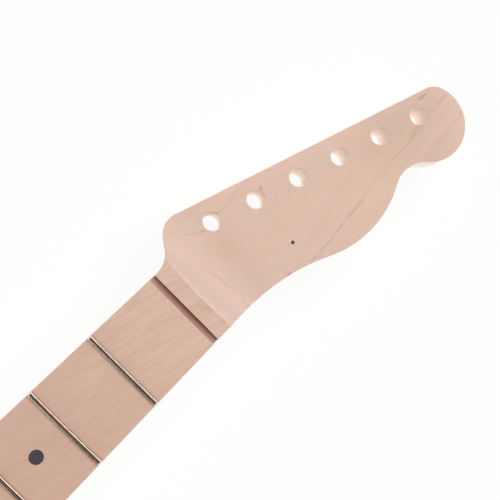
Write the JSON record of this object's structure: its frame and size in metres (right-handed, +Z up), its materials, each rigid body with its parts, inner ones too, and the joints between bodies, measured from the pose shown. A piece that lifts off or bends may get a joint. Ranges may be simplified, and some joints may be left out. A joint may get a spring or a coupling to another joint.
{
  "type": "electric guitar neck",
  "caption": "Bare maple electric guitar neck with an in-line headstock, glued fingerboard, frets, dot markers and a truss rod adjusted at the heel.",
  "frame": {"origin": "on the flat underside of the heel, at the middle of the pattern of body screw holes", "axes": "+X along the neck towards the headstock, +Y to the bass side and its row of tuner holes, +Z up out of the fingerboard"},
  "size_m": [0.6427, 0.0768, 0.0266],
  "materials": {
    "neck_maple": "bare sanded maple",
    "board_maple": "bare sanded maple",
    "fret_metal": "polished nickel silver",
    "marker_plastic": "satin",
    "rod_steel": "plain",
    "block_brass": "sawn",
    "sleeve_plastic": "matt"
  },
  "bodies": {
    "neck": {"face_dot_03": "marker_plastic", "face_dot_05": "marker_plastic", "face_dot_07": "marker_plastic", "face_dot_09": "marker_plastic", "face_dot_12_bass": "marker_plastic", "face_dot_12_treble": "marker_plastic", "face_dot_15": "marker_plastic", "face_dot_17": "marker_plastic", "face_dot_19": "marker_plastic", "face_dot_21": "marker_plastic", "fingerboard": "board_maple", "fret_01": "fret_metal", "fret_02": "fret_metal", "fret_03": "fret_metal", "fret_04": "fret_metal", "fret_05": "fret_metal", "fret_06": "fret_metal", "fret_07": "fret_metal", "fret_08": "fret_metal", "fret_09": "fret_metal", "fret_10": "fret_metal", "fret_11": "fret_metal", "fret_12": "fret_metal", "fret_13": "fret_metal", "fret_14": "fret_metal", "fret_15": "fret_metal", "fret_16": "fret_metal", "fret_17": "fret_metal", "fret_18": "fret_metal", "fret_19": "fret_metal", "fret_20": "fret_metal", "fret_21": "fret_metal", "neck": "neck_maple", "side_dot_03": "marker_plastic", "side_dot_05": "marker_plastic", "side_dot_07": "marker_plastic", "side_dot_09": "marker_plastic", "side_dot_12_front": "marker_plastic", "side_dot_12_rear": "marker_plastic", "side_dot_15": "marker_plastic", "side_dot_17": "marker_plastic", "side_dot_19": "marker_plastic", "side_dot_21": "marker_plastic", "truss_rod_flat_bar": "rod_steel", "truss_rod_front_block": "block_brass", "truss_rod_rear_block": "block_brass", "truss_rod_sleeve": "sleeve_plastic"},
    "truss_rod_screw": {"truss_rod_screw": "rod_steel", "truss_rod_key_nut": "rod_steel"}
  },
  "joints": [
    {"name": "truss_rod_turn", "type": "hinge", "parent": "neck", "child": "truss_rod_screw", "pos_m": [-0.0361, 0, 0.01215], "axis": [1, 0, 0], "range_deg": [-270, 270]}
  ]
}
